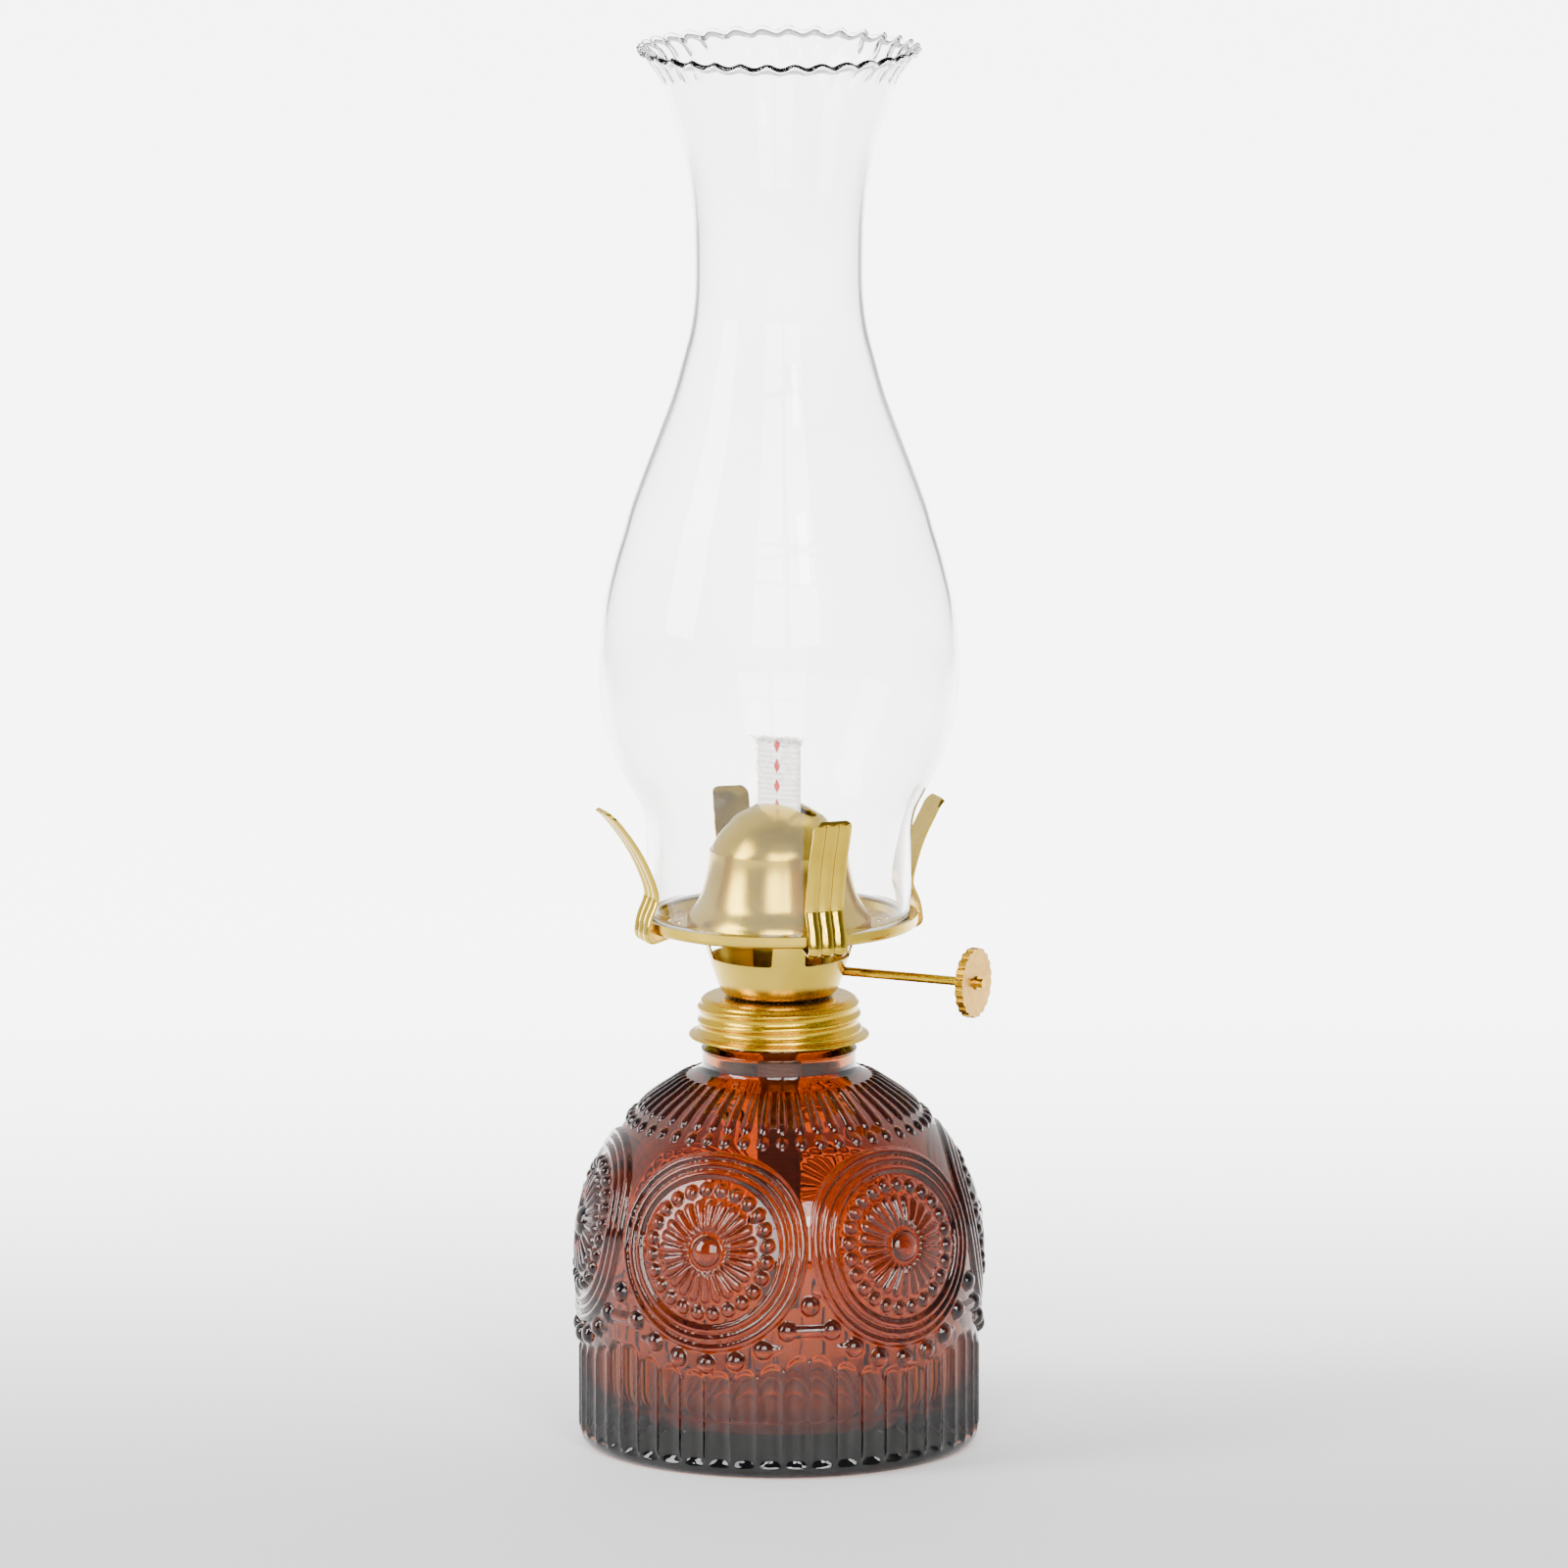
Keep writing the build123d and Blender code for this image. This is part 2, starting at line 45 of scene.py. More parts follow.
# ---------------------------------------------------------------- shape helpers
def smooth_path(points, step):
    """Centripetal Catmull-Rom curve through (r, z) points, sampled about every step."""
    pts = np.array(points, float)
    pts = np.vstack([2 * pts[0] - pts[1], pts, 2 * pts[-1] - pts[-2]])
    out = []
    for k in range(1, len(pts) - 2):
        p0, p1, p2, p3 = pts[k - 1 : k + 3]
        t0 = 0.0
        t1 = t0 + math.sqrt(np.linalg.norm(p1 - p0))
        t2 = t1 + math.sqrt(np.linalg.norm(p2 - p1))
        t3 = t2 + math.sqrt(np.linalg.norm(p3 - p2))
        n = max(2, int(math.ceil(np.linalg.norm(p2 - p1) / step)))
        for t in np.linspace(t1, t2, n, endpoint=False):
            a1 = (t1 - t) / (t1 - t0) * p0 + (t - t0) / (t1 - t0) * p1
            a2 = (t2 - t) / (t2 - t1) * p1 + (t - t1) / (t2 - t1) * p2
            a3 = (t3 - t) / (t3 - t2) * p2 + (t - t2) / (t3 - t2) * p3
            b1 = (t2 - t) / (t2 - t0) * a1 + (t - t0) / (t2 - t0) * a2
            b2 = (t3 - t) / (t3 - t1) * a2 + (t - t1) / (t3 - t1) * a3
            out.append((t2 - t) / (t2 - t1) * b1 + (t - t1) / (t2 - t1) * b2)
    out.append(pts[-2])
    return np.array(out)


def arc(cr, cz, radius, start, end, n):
    """Points on an arc about (cr, cz), angles in degrees."""
    a = np.radians(np.linspace(start, end, n))
    return np.stack([cr + radius * np.cos(a), cz + radius * np.sin(a)], 1)


def normals_of(path):
    """Unit normals to the right of an upward path, pointing away from the axis."""
    run = np.gradient(path, axis=0)
    run /= np.linalg.norm(run, axis=1)[:, None] + 1e-12
    return np.stack([run[:, 1], -run[:, 0]], 1)


def bump(x):
    """1 at 0, 0 from 1 on, rounded like half an ellipse."""
    return np.sqrt(np.clip(1 - np.asarray(x) ** 2, 0, 1))


def ease(x, a, b):
    """Smooth step from 0 at a to 1 at b."""
    t = np.clip((x - a) / (b - a), 0, 1)
    return t * t * (3 - 2 * t)


def grid_mesh(name, grid, close_rows=False, cap_start=False, cap_end=False):
    """Mesh from rows x columns of points, columns joined round. Points are in millimetres."""
    rows, cols, _ = grid.shape
    verts = grid.reshape(-1, 3) * MM
    i, j = np.meshgrid(np.arange(rows if close_rows else rows - 1), np.arange(cols), indexing="ij")
    i2, j2 = (i + 1) % rows, (j + 1) % cols
    corners = [i * cols + j, i * cols + j2, i2 * cols + j2, i2 * cols + j]
    quads = np.stack(corners, -1).reshape(-1, 4)
    extra_faces = []
    if cap_start:
        verts = np.vstack([verts, grid[0].mean(0)[None] * MM])
        c = len(verts) - 1
        extra_faces += [(c, (k + 1) % cols, k) for k in range(cols)]
    if cap_end:
        verts = np.vstack([verts, grid[-1].mean(0)[None] * MM])
        c = len(verts) - 1
        base = (rows - 1) * cols
        extra_faces += [(c, base + k, base + (k + 1) % cols) for k in range(cols)]
    return mesh_object(name, verts, quads, extra_faces)


def mesh_object(name, verts, quads, tris=()):
    """Smooth-shaded mesh from points in metres, quads and then triangles."""
    mesh = bpy.data.meshes.new(name)
    n_quads, n_tris = len(quads), len(tris)
    mesh.vertices.add(len(verts))
    mesh.vertices.foreach_set("co", np.asarray(verts, np.float32).ravel())
    loops = np.concatenate([np.asarray(faces, np.int32).ravel() for faces in (quads, tris)])
    mesh.loops.add(len(loops))
    mesh.loops.foreach_set("vertex_index", loops)
    mesh.polygons.add(n_quads + n_tris)
    starts = np.concatenate([np.arange(n_quads) * 4, n_quads * 4 + np.arange(n_tris) * 3])
    mesh.polygons.foreach_set("loop_start", starts.astype(np.int32))
    mesh.update(calc_edges=True)
    mesh.validate()
    mesh.polygons.foreach_set("use_smooth", np.full(len(mesh.polygons), True))
    ob = bpy.data.objects.new(name, mesh)
    bpy.context.scene.collection.objects.link(ob)
    return ob


def turned(path, theta, shift=None, normals=None):
    """Turn a (r, z) path about Z; shift moves each point along the path's normals."""
    r = np.repeat(path[:, 0][:, None], len(theta), 1)
    z = np.repeat(path[:, 1][:, None], len(theta), 1)
    if shift is not None:
        r = r + shift * normals[:, 0][:, None]
        z = z + shift * normals[:, 1][:, None]
    return np.stack([r * np.cos(theta)[None], r * np.sin(theta)[None], z], -1)


# ---------------------------------------------------------------- material helpers
def new_material(name):
    """Empty node material, its tree and its output node."""
    mat = bpy.data.materials.new(name)
    mat.use_nodes = True
    nt = mat.node_tree
    nt.nodes.clear()
    out = nt.nodes.new("ShaderNodeOutputMaterial")
    return mat, nt, out


def put(n, **sockets):
    """Set a node's sockets by name, with _ for a space."""
    for key, value in sockets.items():
        n.inputs[key.replace("_", " ")].default_value = value
    return n


def brass(name, color, dark, rough, rough_spread, brushed, scale=900.0, bump_strength=0.06):
    """Sheet brass: slight colour drift, brushed or spun lines, fine scratches in the gloss."""
    mat, nt, out = new_material(name)
    bsdf = nt.nodes.new("ShaderNodeBsdfPrincipled")
    put(bsdf, Metallic=1.0)
    coord = nt.nodes.new("ShaderNodeTexCoord")
    mapping = nt.nodes.new("ShaderNodeMapping")
    mapping.inputs["Scale"].default_value = brushed
    nt.links.new(coord.outputs["Object"], mapping.inputs["Vector"])
    lines = nt.nodes.new("ShaderNodeTexNoise")
    put(lines, Scale=scale, Detail=5.0, Roughness=0.6)
    nt.links.new(mapping.outputs["Vector"], lines.inputs["Vector"])
    drift = nt.nodes.new("ShaderNodeTexNoise")
    put(drift, Scale=70.0, Detail=3.0)
    nt.links.new(coord.outputs["Object"], drift.inputs["Vector"])
    ramp = nt.nodes.new("ShaderNodeValToRGB")
    ramp.color_ramp.elements[0].position = 0.3
    ramp.color_ramp.elements[0].color = (*dark, 1)
    ramp.color_ramp.elements[1].position = 0.65
    ramp.color_ramp.elements[1].color = (*color, 1)
    nt.links.new(drift.outputs["Fac"], ramp.inputs["Fac"])
    nt.links.new(ramp.outputs["Color"], bsdf.inputs["Base Color"])
    gloss = nt.nodes.new("ShaderNodeMapRange")
    put(gloss, From_Min=0.3, From_Max=0.7, To_Min=rough, To_Max=rough + rough_spread)
    nt.links.new(lines.outputs["Fac"], gloss.inputs["Value"])
    nt.links.new(gloss.outputs["Result"], bsdf.inputs["Roughness"])
    relief = nt.nodes.new("ShaderNodeBump")
    put(relief, Strength=bump_strength, Distance=0.0002)
    nt.links.new(lines.outputs["Fac"], relief.inputs["Height"])
    nt.links.new(relief.outputs["Normal"], bsdf.inputs["Normal"])
    nt.links.new(bsdf.outputs["BSDF"], out.inputs["Surface"])
    return mat


def glass(name, color, ior, rough, wobble, wobble_scale, absorb=None, density=0.0, shadow=None):
    """Glass with a faint uneven surface. Shadow rays pass tinted, and absorb tints its depth."""
    mat, nt, out = new_material(name)
    bsdf = nt.nodes.new("ShaderNodeBsdfPrincipled")
    put(bsdf, Metallic=0.0, Roughness=rough, IOR=ior)
    bsdf.inputs["Transmission Weight"].default_value = 1.0
    coord = nt.nodes.new("ShaderNodeTexCoord")
    drift = nt.nodes.new("ShaderNodeTexNoise")
    put(drift, Scale=wobble_scale, Detail=2.0)
    nt.links.new(coord.outputs["Object"], drift.inputs["Vector"])
    ramp = nt.nodes.new("ShaderNodeValToRGB")
    ramp.color_ramp.elements[0].position = 0.35
    ramp.color_ramp.elements[0].color = (*[c * 0.93 for c in color], 1)
    ramp.color_ramp.elements[1].position = 0.65
    ramp.color_ramp.elements[1].color = (*color, 1)
    nt.links.new(drift.outputs["Fac"], ramp.inputs["Fac"])
    nt.links.new(ramp.outputs["Color"], bsdf.inputs["Base Color"])
    relief = nt.nodes.new("ShaderNodeBump")
    put(relief, Strength=wobble, Distance=0.001)
    nt.links.new(drift.outputs["Fac"], relief.inputs["Height"])
    nt.links.new(relief.outputs["Normal"], bsdf.inputs["Normal"])
    see = nt.nodes.new("ShaderNodeBsdfTransparent")
    see.inputs["Color"].default_value = (*(shadow or color), 1)
    path = nt.nodes.new("ShaderNodeLightPath")
    mix = nt.nodes.new("ShaderNodeMixShader")
    nt.links.new(path.outputs["Is Shadow Ray"], mix.inputs["Fac"])
    nt.links.new(bsdf.outputs["BSDF"], mix.inputs[1])
    nt.links.new(see.outputs["BSDF"], mix.inputs[2])
    nt.links.new(mix.outputs["Shader"], out.inputs["Surface"])
    if absorb is not None:
        deep = nt.nodes.new("ShaderNodeVolumeAbsorption")
        deep.inputs["Color"].default_value = (*absorb, 1)
        deep.inputs["Density"].default_value = density
        nt.links.new(deep.outputs["Volume"], out.inputs["Volume"])
    return mat


# ---------------------------------------------------------------- pressed-glass font
MEDALLIONS = 6
PETALS = 24
FLUTES = 48
FONT_COLUMNS = 1080
SKIRT_RADIUS = 40.2
RELIEF_RADIUS = 40.5  # the pattern is laid out flat at this radius
BEAD_RADIUS = 1.95
THREAD_PITCH = 3.2
PHASE = math.radians(-25.85)
MEDALLION_Z = 46.3
HALF_PITCH = 21.2


def pattern(theta, r, v):
    """Height of the pressed relief, in mm; v is the arc length up from a medallion's centre."""
    step = TAU / MEDALLIONS
    local = (theta - PHASE + step / 2) % step - step / 2
    u = r * local
    rho = np.hypot(u, v)
    angle = np.arctan2(v, u)
    # hub and its moat
    h = 1.45 * bump(rho / 3.1)
    h -= 0.28 * bump((rho - 3.7) / 0.55)
    # petals
    cell = TAU / PETALS
    off = (angle + cell / 2) % cell - cell / 2
    width = 0.44 * cell * rho
    reach = bump(np.clip((rho - 8.9) / 1.6, 0, 1)) * bump(np.clip((5.6 - rho) / 1.7, 0, 1))
    h += 0.82 * reach * bump(np.clip(np.abs(rho * off) / (width * np.maximum(reach, 0.25)), 0, 1))
    # ring of small beads, half a cell round from the petals
    bead_off = angle % cell - cell / 2
    near = np.hypot(12.6 * bead_off, rho - 12.6)
    h += 1.1 * bump(near / 1.4)
    # dished edge and three ridges
    h -= 0.22 * bump((rho - 14.75) / 0.5)
    for ring in (15.9, 17.8, 19.65):
        h += 0.78 * bump((rho - ring) / 0.9) ** 1.2
    # garland of beads under the medallion
    beads = [
        (23 * math.sin(math.radians(a)), -23 * math.cos(math.radians(a)))
        for a in (-46.5, -31, -15.5, 0, 15.5, 31, 46.5)
    ]
    beads += [(-HALF_PITCH, -10.7), (HALF_PITCH, -10.7)]
    u_even = local * RELIEF_RADIUS
    for bu, bv in beads:
        h = np.maximum(h, 1.45 * bump(np.hypot(u_even - bu, v - bv) / BEAD_RADIUS))
    # bars and tails towards the seam between medallions
    side = np.abs(u_even)
    bar = bump((v + 15.85) / 1.15) * ease(side, 16.0, 17.0)
    h = np.maximum(h, 0.85 * bar)
    tail_reach = np.clip((side - 11.9) / 3.6, 0, 1)
    tail_width = 1.35 * (1 - 0.8 * tail_reach) + 0.05
    tail = bump(np.clip(np.abs(v + 19.75 - 0.35 * tail_reach) / tail_width, 0, 1))
    tail = tail * (side > 11.9) * (tail_reach < 1)
    h = np.maximum(h, 0.8 * (1 - 0.55 * tail_reach) * tail)
    return h


def skirt(theta, z):
    """Concave flutes with sharp ridges between them."""
    step = TAU / MEDALLIONS
    local = (theta - PHASE + step / 2) % step - step / 2
    side = np.abs(local * RELIEF_RADIUS)
    t = ((theta - PHASE) * FLUTES / TAU) % 1 * 2 - 1
    top = -25.9 + 4.4 * (side / HALF_PITCH) ** 2
    z_top = MEDALLION_Z + top
    arch = 1.6 * (1 - t**2)
    fade = ease(z_top + arch - z, 0.0, 1.2) * ease(z, 2.2, 3.8)
    groove = 1 - np.abs(t) ** 2.2
    return fade * (0.34 - 1.15 * groove)


def shoulder(theta, r):
    """Raised radial ribs, each ending in a bead."""
    cell = TAU / FLUTES
    off = (theta - PHASE + cell / 2) % cell - cell / 2
    across = np.abs(r * off)
    width = 0.62 + 0.045 * np.clip(r - 18, 0, 12)
    ends = bump(np.clip((20.6 - r) / 1.9, 0, 1)) * bump(np.clip((r - 27.2) / 1.3, 0, 1))
    h = 0.62 * ends * bump(np.clip(across / (width * np.maximum(ends, 0.3)), 0, 1))
    bead = bump(np.hypot(across, (r - 30.0) * 1.25) / 1.12)
    return np.maximum(h, 0.72 * bead)


def build_font():
    """One closed skin: under the foot, up the pressed side, over the lip and down the inside."""
    theta = np.arange(FONT_COLUMNS) * TAU / FONT_COLUMNS
    heel = arc(37.7, 2.5, 2.5, -90, 0, 10)
    skirt_line = np.stack([np.full(64, SKIRT_RADIUS), np.linspace(2.5, 25, 65)[1:]], 1)
    side = smooth_path(
        [
            (40.2, 25), (40.75, 36.7), (40.6, 43.1), (39.9, 47.6), (38.7, 52.1),
            (36.8, 56.5), (34.6, 60.7), (32.1, 64.3), (29.2, 67.7), (25.8, 70.7),
            (22.3, 73.1), (19.5, 74.9), (17.3, 75.9), (16.0, 76.6),
        ],
        0.31,
    )[1:]
    relief_path = np.vstack([heel, skirt_line, side])
    along = np.concatenate([[0], np.cumsum(np.linalg.norm(np.diff(relief_path, axis=0), axis=1))])
    on_side = np.arange(len(relief_path)) > 12
    centre = np.interp(MEDALLION_Z, relief_path[on_side, 1], along[on_side])
    v = (along - centre)[:, None]
    r = relief_path[:, 0][:, None]
    z = relief_path[:, 1][:, None]
    th = theta[None]
    med = pattern(th, r, v) * ((z > 10) & (z < 72))
    height = np.where(med > 0.02, med, med + skirt(th, z))
    height = height + np.where((z > 62) & (np.abs(med) < 0.02), shoulder(th, r), 0)
    body = turned(relief_path, theta, height, normals_of(relief_path))
    neck = np.vstack([
        smooth_path([(15.55, 77.2), (15.5, 78.6), (15.5, 80.3)], 0.5),
        arc(15.42, 80.75, 0.33, -70, 70, 5),
        [(15.35, 81.2), (14.6, 81.7), (14.25, 82.1)],
        smooth_path([(14.2, 82.6), (14.2, 86.0), (14.2, 89.1)], 0.3),
        arc(13.4, 89.1, 0.8, 0, 90, 5)[1:],
        arc(13.2, 89.2, 0.7, 90, 180, 5)[1:],
        [(12.5, 86.0), (12.5, 80.0), (12.5, 76.5)],
        smooth_path([
            (12.6, 75.0), (14.6, 72.0), (20.6, 67.4), (26.8, 61.8), (31.6, 54.6),
            (34.5, 46.8), (35.4, 37.0), (35.0, 26.0), (35.0, 15.5),
        ], 1.6),
        arc(27.0, 15.0, 8.0, 0, -90, 10)[1:],
        [(20.0, 6.95), (10.0, 6.85), (1.0, 6.8)],
    ])
    th_neck = turned(neck, theta)
    # one moulded thread round the finish
    turn = theta / TAU
    for k, (pr, pz) in enumerate(neck):
        if 82.3 < pz < 89.2 and pr > 14.0:
            near = pz - 84.0 - THREAD_PITCH * turn
            far = near - THREAD_PITCH
            push = 0.8 * np.maximum(bump(near / 0.9), bump(far / 0.9) * (turn < 0.3))
            th_neck[k, :, 0] += push * np.cos(theta)
            th_neck[k, :, 1] += push * np.sin(theta)
    under = np.array([
        (1.0, 0.9), (12.0, 0.85), (24.0, 0.7), (31.5, 0.6), (33.5, 0.25), (35.0, 0.0),
        (36.5, 0.0),
    ])
    foot = turned(under, theta)
    grid = np.concatenate([foot, body, th_neck], 0)
    return grid_mesh("font_pressed_glass", grid, cap_start=True, cap_end=True)


font = build_font()
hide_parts("font_glass")
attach(font, "font")
amber = glass("amber_glass", (0.84, 0.42, 0.07), 1.5, 0.0, 0.15, 60.0,
              absorb=(0.50, 0.17, 0.0), density=235.0, shadow=(0.75, 0.42, 0.2))
font.data.materials.append(amber)


# ---------------------------------------------------------------- chimney
CRIMPS = 32
COLUMNS_PER_CRIMP = 16


def build_chimney():
    """Blown shell: outer wall, rolled rim, inner wall and foot as one closed loop, turned."""
    cols = CRIMPS * COLUMNS_PER_CRIMP
    theta = np.arange(cols) * TAU / cols
    outer = smooth_path(
        [
            (26.4, 108.3), (26.5, 109.5), (26.6, 114.0), (26.7, 122.1), (26.95, 127.2),
            (27.8, 130.4), (29.4, 133.6), (31.8, 138.1), (34.1, 143.9), (35.7, 150.2),
            (36.3, 159.0), (35.9, 165.6), (35.1, 172.0), (33.3, 179.6), (31.4, 186.0),
            (30.0, 190.8), (27.0, 199.0), (24.1, 206.6), (21.5, 213.7), (19.5, 220.7),
            (17.9, 227.1), (17.1, 233.5), (17.0, 245.0), (17.3, 251.4), (18.0, 257.7),
            (19.2, 264.2), (20.75, 269.3), (23.0, 275.7), (25.1, 280.4), (26.3, 282.2),
        ],
        1.0,
    )
    wall_heights = [108, 112, 140, 230, 270, 283]
    wall = np.interp(outer[:, 1], wall_heights, [1.25, 1.15, 0.95, 0.95, 1.0, 1.05])
    inner = outer - normals_of(outer) * wall[:, None]
    rim = arc(27.6, 283.9, 0.6, -125, 145, 11)
    foot = arc(25.8, 108.45, 0.62, -170, -20, 6)
    path = np.vstack([foot, outer[1:], rim, inner[::-1][:-1]])
    # crimps: the rim is pinched in and down between its lobes
    wave = np.cos(theta * CRIMPS)
    z = path[:, 1][:, None]
    r = path[:, 0][:, None]
    amount = ease(z, 278.0, 283.2)
    radial = amount * (0.55 * wave[None] - 0.12)
    lift = ease(z, 281.0, 283.6) * (0.42 * np.cos(theta * CRIMPS + 0.9)[None])
    r_new = r + radial
    grid = np.stack([r_new * np.cos(theta)[None], r_new * np.sin(theta)[None], z + lift], -1)
    return grid_mesh("chimney_blown_glass", grid, close_rows=True)


chimney = build_chimney()
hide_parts("chimney")
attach(chimney, "chimney")
clear = glass("clear_glass", (0.995, 0.993, 0.99), 1.47, 0.0, 0.06, 25.0, shadow=(0.96, 0.96, 0.96))
chimney.data.materials.append(clear)


# ---------------------------------------------------------------- screw collar
COLLAR_COLUMNS = 360
ROLL_PITCH = 2.75


def build_collar():
    """Rolled cap: the thread winds up its side, a flared lip below and a rounded shoulder above."""
    theta = np.arange(COLLAR_COLUMNS) * TAU / COLLAR_COLUMNS
    outer = smooth_path(
        [
            (18.25, 83.35), (18.15, 83.75), (16.9, 84.25), (16.2, 85.0), (16.05, 86.2),
            (16.05, 88.0), (16.0, 89.8), (15.7, 90.8), (14.9, 91.35), (13.6, 91.52),
        ],
        0.2,
    )
    top = [(11.5, 91.54), (9.05, 91.54), (9.0, 91.1), (11.5, 91.12), (13.6, 91.1)]
    inner = smooth_path(
        [
            (14.8, 90.9), (15.4, 90.2), (15.5, 88.0), (15.5, 85.4), (16.6, 84.0),
            (17.6, 83.5), (18.1, 83.3),
        ],
        0.5,
    )
    path = np.vstack([outer, top, inner])
    z = path[:, 1][:, None]
    is_outer = (np.arange(len(path)) < len(outer))[:, None]
    is_side = ease(z, 84.2, 85.0) * ease(-z, -90.7, -89.9) * is_outer
    wind = ((z - 84.9) / ROLL_PITCH - theta[None] / TAU) % 1
    roll = 0.62 * (0.5 + 0.5 * np.cos(TAU * wind)) ** 1.5 - 0.12
    grid = turned(path, theta, is_side * roll, np.repeat([(1.0, 0.0)], len(path), 0))
    return grid_mesh("collar_rolled_brass", grid, close_rows=True)


collar = build_collar()
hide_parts("screw_collar")
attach(collar, "burner")


# ---------------------------------------------------------------- wick
WICK_WIDTH, WICK_THICKNESS = 9.5, 2.2
WICK_BOTTOM, WICK_TOP = 28.0, 143.4
THREADS, THREADS_ON_TOP = 420, 260
THREAD_SIDES = 5
THREAD_RINGS = 5


def build_wick():
    """Flat strip with rounded edges, an even weave and a ragged top."""
    rows = 460
    s = np.linspace(WICK_BOTTOM, WICK_TOP, rows)
    cols = 64
    a = np.arange(cols) * TAU / cols
    cx = np.sign(np.cos(a)) * np.abs(np.cos(a)) ** 0.35 * (WICK_WIDTH / 2 - 0.12)
    cy = np.sign(np.sin(a)) * np.abs(np.sin(a)) ** 0.55 * (WICK_THICKNESS / 2 - 0.12)
    stagger = np.where(np.sin(TAU * cx[None] / 1.15) > 0, 0, math.pi)
    weave = 0.09 * np.sin(TAU * s[:, None] / 0.9 + stagger)
    weave = weave + 0.05 * np.sin(TAU * cx[None] / 0.575)
    x = np.repeat(cx[None], rows, 0)
    y = np.repeat(cy[None], rows, 0) + np.sign(cy)[None] * weave
    z = np.repeat(s[:, None], cols, 1)
    top = ease(z, 139.5, WICK_TOP)
    ragged = 0.45 * np.sin(x * 1.9 + 0.6) + 0.35 * np.sin(x * 5.1) + 0.3 * np.sin(x * 11.3 + 1)
    z = z + top * (ragged - 0.75)
    y = y + top * (0.22 * np.sin(x * 0.9) + 0.14 * np.sin(x * 7.3))
    grid = np.stack([x, y, z], -1)
    return grid_mesh("wick_woven", grid, cap_start=True, cap_end=True)


wick = build_wick()
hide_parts("wick")
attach(wick, "wick")


def cotton_material():
    """Woven cotton with red diamonds on the front above the bell, and a tail that darkens
    downwards.
    """
    mat, nt, out = new_material("wick_cotton")
    bsdf = nt.nodes.new("ShaderNodeBsdfPrincipled")
    put(bsdf, Roughness=0.9)
    bsdf.inputs["Sheen Weight"].default_value = 0.3
    coord = nt.nodes.new("ShaderNodeTexCoord")
    split = nt.nodes.new("ShaderNodeSeparateXYZ")
    nt.links.new(coord.outputs["Object"], split.inputs["Vector"])

    def math_node(op, a, b=None):
        n = nt.nodes.new("ShaderNodeMath")
        n.operation = op
        for k, value in enumerate((a, b)):
            if value is None:
                continue
            if isinstance(value, (int, float)):
                n.inputs[k].default_value = value
            else:
                nt.links.new(value, n.inputs[k])
        return n.outputs[0]

    # red diamonds up the middle of the front face
    up = math_node("PINGPONG", math_node("MULTIPLY", split.outputs["Z"], 1000.0), 2.1)
    up = math_node("DIVIDE", up, 1.6)
    across = math_node("ABSOLUTE", math_node("MULTIPLY", split.outputs["X"], 1000.0))
    across = math_node("DIVIDE", across, 0.7)
    inside = math_node("LESS_THAN", math_node("ADD", up, across), 1.0)
    front = math_node("LESS_THAN", split.outputs["Y"], 0.0)
    above_bell = math_node("GREATER_THAN", split.outputs["Z"], 0.128)
    red = math_node("MULTIPLY", math_node("MULTIPLY", inside, front), above_bell)
    threads = nt.nodes.new("ShaderNodeTexWave")
    threads.bands_direction = "Z"
    put(threads, Scale=280.0, Distortion=1.2, Detail=2.0)
    nt.links.new(coord.outputs["Object"], threads.inputs["Vector"])
    fluff = nt.nodes.new("ShaderNodeTexNoise")
    put(fluff, Scale=1500.0, Detail=3.0)
    nt.links.new(coord.outputs["Object"], fluff.inputs["Vector"])
    cloth = nt.nodes.new("ShaderNodeValToRGB")
    cloth.color_ramp.elements[0].color = (0.70, 0.66, 0.58, 1)
    cloth.color_ramp.elements[1].color = (0.95, 0.94, 0.90, 1)
    cloth.color_ramp.elements[1].position = 0.6
    nt.links.new(math_node("ADD", math_node("MULTIPLY", threads.outputs["Fac"], 0.5),
                           math_node("MULTIPLY", fluff.outputs["Fac"], 0.6)), cloth.inputs["Fac"])
    mix = nt.nodes.new("ShaderNodeMix")
    mix.data_type = "RGBA"
    nt.links.new(red, mix.inputs["Factor"])
    nt.links.new(cloth.outputs["Color"], mix.inputs["A"])
    mix.inputs["B"].default_value = (0.42, 0.008, 0.02, 1)
    # below the bell the wick darkens, from full colour at 110 mm down to 0.12 of it at 80 mm and
    # lower
    darker_tail = nt.nodes.new("ShaderNodeMapRange")
    put(darker_tail, From_Min=0.080, From_Max=0.110, To_Min=0.12, To_Max=1.0)
    nt.links.new(split.outputs["Z"], darker_tail.inputs["Value"])
    tint = nt.nodes.new("ShaderNodeVectorMath")
    tint.operation = "SCALE"
    nt.links.new(mix.outputs["Result"], tint.inputs[0])
    nt.links.new(darker_tail.outputs["Result"], tint.inputs["Scale"])
    nt.links.new(tint.outputs["Vector"], bsdf.inputs["Base Color"])
    relief = nt.nodes.new("ShaderNodeBump")
    put(relief, Strength=0.5, Distance=0.0003)
    nt.links.new(threads.outputs["Fac"], relief.inputs["Height"])
    nt.links.new(relief.outputs["Normal"], bsdf.inputs["Normal"])
    nt.links.new(bsdf.outputs["BSDF"], out.inputs["Surface"])
    return mat


